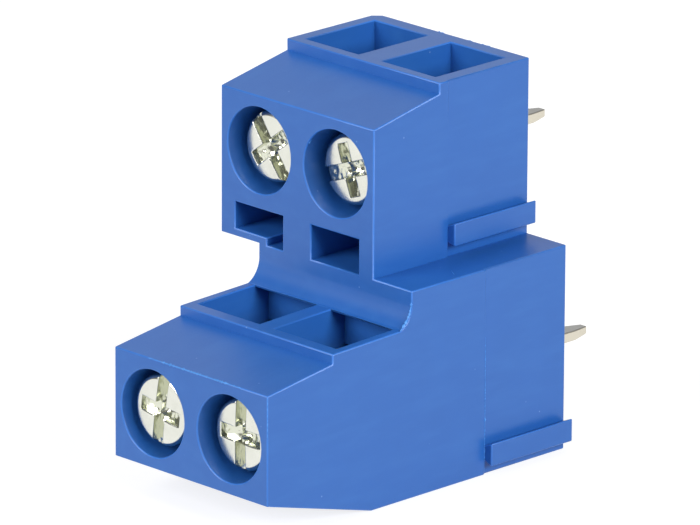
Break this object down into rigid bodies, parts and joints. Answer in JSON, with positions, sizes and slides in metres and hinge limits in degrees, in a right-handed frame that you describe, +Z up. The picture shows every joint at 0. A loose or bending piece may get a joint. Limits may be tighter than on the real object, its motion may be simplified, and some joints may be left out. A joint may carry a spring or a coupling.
{
  "type": "two-level pcb screw terminal block",
  "caption": "Two-level screw terminal block for printed circuit boards, with offset levels, screw clamps and flat solder pins, lying on its flat side.",
  "frame": {"origin": "on the base, at the centre of the outline in plan (side rails and pins included)", "axes": "+Z up from the flat side it lies on, towards the wire openings; -Y towards the screws; +Y towards the circuit board; +X along the poles, towards the side rails"},
  "size_m": [0.0132, 0.0232, 0.0187],
  "materials": {
    "housing": "blue moulded polyamide, fine satin",
    "clamp": "tinned",
    "wire_guard": "satin stainless",
    "screw": "bright zinc plated"
  },
  "bodies": {
    "block": {"housing": "housing", "clamp_upper_left": "clamp", "clamp_upper_right": "clamp", "clamp_lower_left": "clamp", "clamp_lower_right": "clamp"},
    "wire_guard_upper_left": {"wire_guard_upper_left": "wire_guard"},
    "wire_guard_upper_right": {"wire_guard_upper_right": "wire_guard"},
    "wire_guard_lower_left": {"wire_guard_lower_left": "wire_guard"},
    "wire_guard_lower_right": {"wire_guard_lower_right": "wire_guard"},
    "screw_upper_left": {"screw_upper_left": "screw"},
    "screw_upper_right": {"screw_upper_right": "screw"},
    "screw_lower_left": {"screw_lower_left": "screw"},
    "screw_lower_right": {"screw_lower_right": "screw"}
  },
  "joints": [
    {"name": "guard_travel_upper_left", "type": "slide", "parent": "block", "child": "wire_guard_upper_left", "axis": [0, 1, 0], "range_m": [-0.0004, 0.00215]},
    {"name": "screw_turn_upper_left", "type": "hinge", "parent": "wire_guard_upper_left", "child": "screw_upper_left", "pos_m": [-0.00404, -0.0017, 0.01461], "axis": [0, 1, 0], "range_deg": [-289, 1549]},
    {"name": "guard_travel_upper_right", "type": "slide", "parent": "block", "child": "wire_guard_upper_right", "axis": [0, 1, 0], "range_m": [-0.00055, 0.002]},
    {"name": "screw_turn_upper_right", "type": "hinge", "parent": "wire_guard_upper_right", "child": "screw_upper_right", "pos_m": [0.00104, -0.00155, 0.01461], "axis": [0, 1, 0], "range_deg": [-397, 1441]},
    {"name": "guard_travel_lower_left", "type": "slide", "parent": "block", "child": "wire_guard_lower_left", "axis": [0, 1, 0], "range_m": [-0.00015, 0.0024]},
    {"name": "screw_turn_lower_left", "type": "hinge", "parent": "wire_guard_lower_left", "child": "screw_lower_left", "pos_m": [-0.0015, -0.01119, 0.00445], "axis": [0, 1, 0], "range_deg": [-109, 1729]},
    {"name": "guard_travel_lower_right", "type": "slide", "parent": "block", "child": "wire_guard_lower_right", "axis": [0, 1, 0], "range_m": [-0.0004, 0.00215]},
    {"name": "screw_turn_lower_right", "type": "hinge", "parent": "wire_guard_lower_right", "child": "screw_lower_right", "pos_m": [0.00359, -0.01094, 0.00445], "axis": [0, 1, 0], "range_deg": [-289, 1549]}
  ],
  "couplings": [
    {"joint": "screw_turn_upper_left", "follows": "guard_travel_upper_left", "rad_per_m": 12566},
    {"joint": "screw_turn_upper_right", "follows": "guard_travel_upper_right", "rad_per_m": 12566},
    {"joint": "screw_turn_lower_left", "follows": "guard_travel_lower_left", "rad_per_m": 12566},
    {"joint": "screw_turn_lower_right", "follows": "guard_travel_lower_right", "rad_per_m": 12566}
  ]
}
